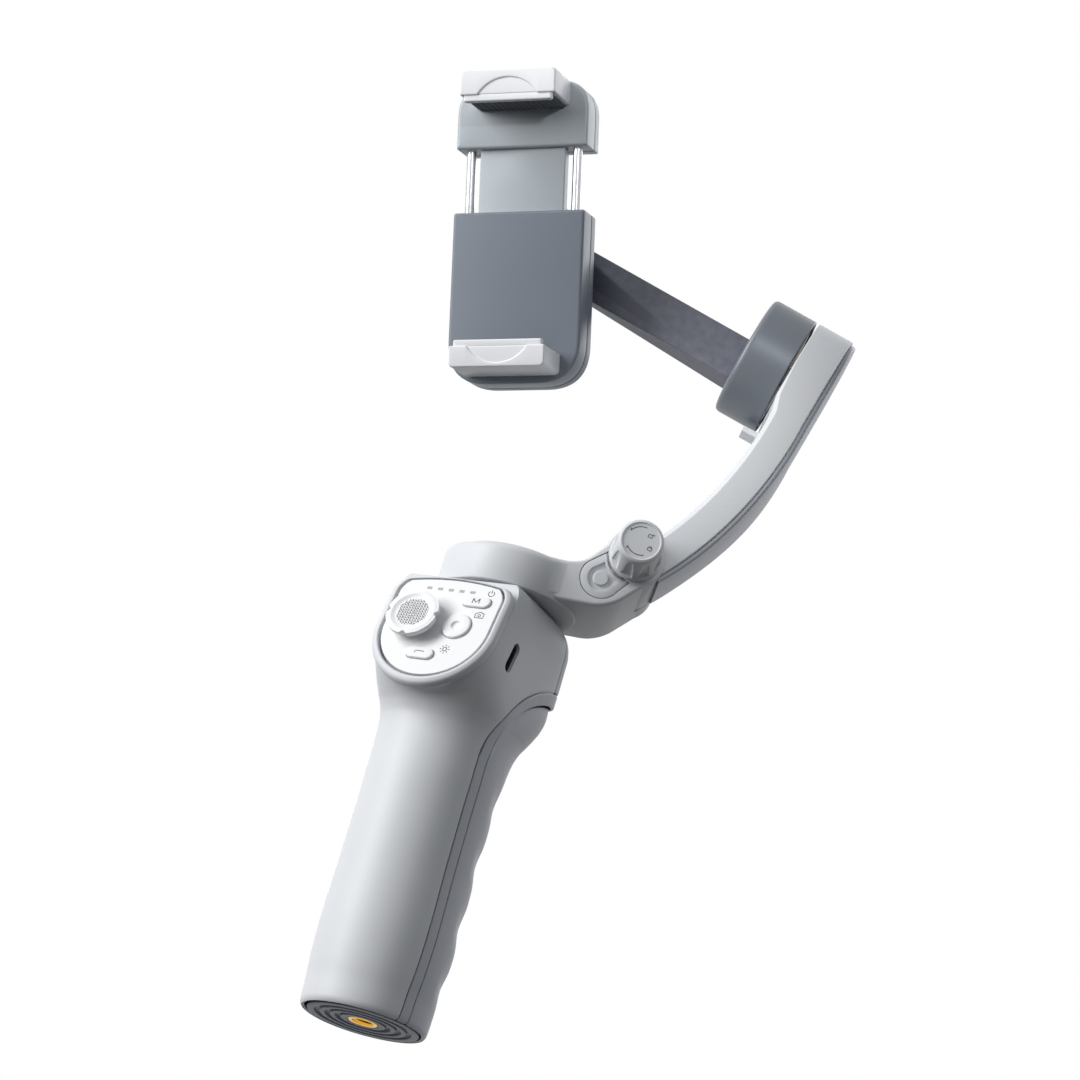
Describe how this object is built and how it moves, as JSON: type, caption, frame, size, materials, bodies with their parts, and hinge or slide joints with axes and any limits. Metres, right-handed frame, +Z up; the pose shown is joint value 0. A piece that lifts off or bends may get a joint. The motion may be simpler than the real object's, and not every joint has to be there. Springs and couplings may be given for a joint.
{
  "type": "smartphone gimbal",
  "caption": "Handheld folding stabiliser: round grip with a control panel, curved arm with three motor axes and a sprung clamp for a phone.",
  "frame": {"origin": "middle of the tripod socket's mouth in the handle's foot", "axes": "+Z up the handle, -Y out of the handle's front, +X to the handle's right seen from behind the panel's user side"},
  "size_m": [0.1319, 0.0944, 0.3052],
  "materials": {
    "silver_shell": "fine sparkled satin",
    "grey_shell": "fine sparkled satin",
    "drum_grey": "fine satin",
    "clamp_grey": "fine satin",
    "white_trim": "satin",
    "dark_trim": "matt",
    "rubber": "matt",
    "board": "solder mask",
    "copper_winding": null,
    "steel": "turned",
    "brass": "turned",
    "cell": "shrink sleeve",
    "lights": "clear window"
  },
  "bodies": {
    "handle": {"front_shell": "silver_shell", "side_band": "grey_shell", "rear_grip": "grey_shell", "head_rear_cover": "grey_shell", "foot_cap": "dark_trim", "tripod_insert": "brass", "panel_bezel": "silver_shell", "control_panel": "white_trim", "charge_lights": "lights", "usb_socket": "dark_trim", "battery_cell": "cell", "battery_holder": "dark_trim", "main_board": "board", "panel_board": "board", "stick_base": "dark_trim", "pan_stator": "copper_winding", "pan_bearing": "steel"},
    "stick_ring": {"stick_carrier": "dark_trim"},
    "stick": {"stick_cap": "white_trim"},
    "mode_key": {"mode_button": "white_trim"},
    "shutter_key": {"shutter_button": "white_trim"},
    "light_key": {"light_button": "white_trim"},
    "pan_arm": {"pan_arm_body": "silver_shell", "pan_shaft": "steel", "hinge_inlay": "silver_shell", "hinge_boss": "silver_shell", "hinge_pin": "steel"},
    "knob": {"lock_knob": "silver_shell"},
    "folding_arm": {"fold_arm": "silver_shell", "fold_strip": "grey_shell", "hinge_bush": "brass", "tilt_housing": "drum_grey", "tilt_stator": "copper_winding"},
    "tilt_arm": {"tilt_drum": "drum_grey", "tilt_shaft": "steel", "roll_plate": "clamp_grey", "roll_can": "clamp_grey", "roll_stator": "copper_winding"},
    "clamp": {"roll_shaft": "steel", "clamp_body": "clamp_grey", "clamp_back": "clamp_grey", "lower_jaw": "white_trim", "lower_pad": "rubber"},
    "clamp_slide": {"upper_body": "clamp_grey", "upper_jaw": "white_trim", "upper_pad": "rubber", "guide_rods": "steel"}
  },
  "joints": [
    {"name": "pan", "type": "hinge", "parent": "handle", "child": "pan_arm", "pos_m": [0, 0, 0.134], "axis": [0, 0, 1], "range_deg": [-185, 130]},
    {"name": "fold", "type": "hinge", "parent": "pan_arm", "child": "folding_arm", "pos_m": [0.03444, 0.01831, 0.1541], "axis": [0.4695, -0.8829, 0], "range_deg": [0, 55]},
    {"name": "knob_turn", "type": "hinge", "parent": "pan_arm", "child": "knob", "pos_m": [0.0457, -0.00288, 0.1541], "axis": [0.4695, -0.8829, 0], "range_deg": [0, 120]},
    {"name": "tilt", "type": "hinge", "parent": "folding_arm", "child": "tilt_arm", "pos_m": [0.06166, 0.03279, 0.23058], "axis": [-0.8556, -0.4549, 0.247], "range_deg": [-110, 110]},
    {"name": "roll", "type": "hinge", "parent": "tilt_arm", "child": "clamp", "pos_m": [-0.02411, 0.00815, 0.25867], "axis": [-0.1365, 0.9534, 0.2691], "range_deg": [-110, 110]},
    {"name": "jaw_slide", "type": "slide", "parent": "clamp", "child": "clamp_slide", "axis": [-0.1178, -0.2854, 0.9511], "range_m": [-0.02, 0.008]},
    {"name": "stick_x", "type": "hinge", "parent": "handle", "child": "stick_ring", "pos_m": [-0.0072, -0.02114, 0.11457], "axis": [1, 0, 0], "range_deg": [-10, 10], "stiffness_Nm_per_rad": 0.01},
    {"name": "stick_y", "type": "hinge", "parent": "stick_ring", "child": "stick", "pos_m": [-0.0072, -0.02114, 0.11457], "axis": [0, 0.2588, 0.9659], "range_deg": [-10, 10], "stiffness_Nm_per_rad": 0.01},
    {"name": "mode_press", "type": "slide", "parent": "handle", "child": "mode_key", "axis": [0, 0.9659, -0.2588], "range_m": [0, 0.0006], "stiffness_N_per_m": 900},
    {"name": "shutter_press", "type": "slide", "parent": "handle", "child": "shutter_key", "axis": [0, 0.9659, -0.2588], "range_m": [0, 0.0006], "stiffness_N_per_m": 900},
    {"name": "light_press", "type": "slide", "parent": "handle", "child": "light_key", "axis": [0, 0.9659, -0.2588], "range_m": [0, 0.0006], "stiffness_N_per_m": 900}
  ]
}
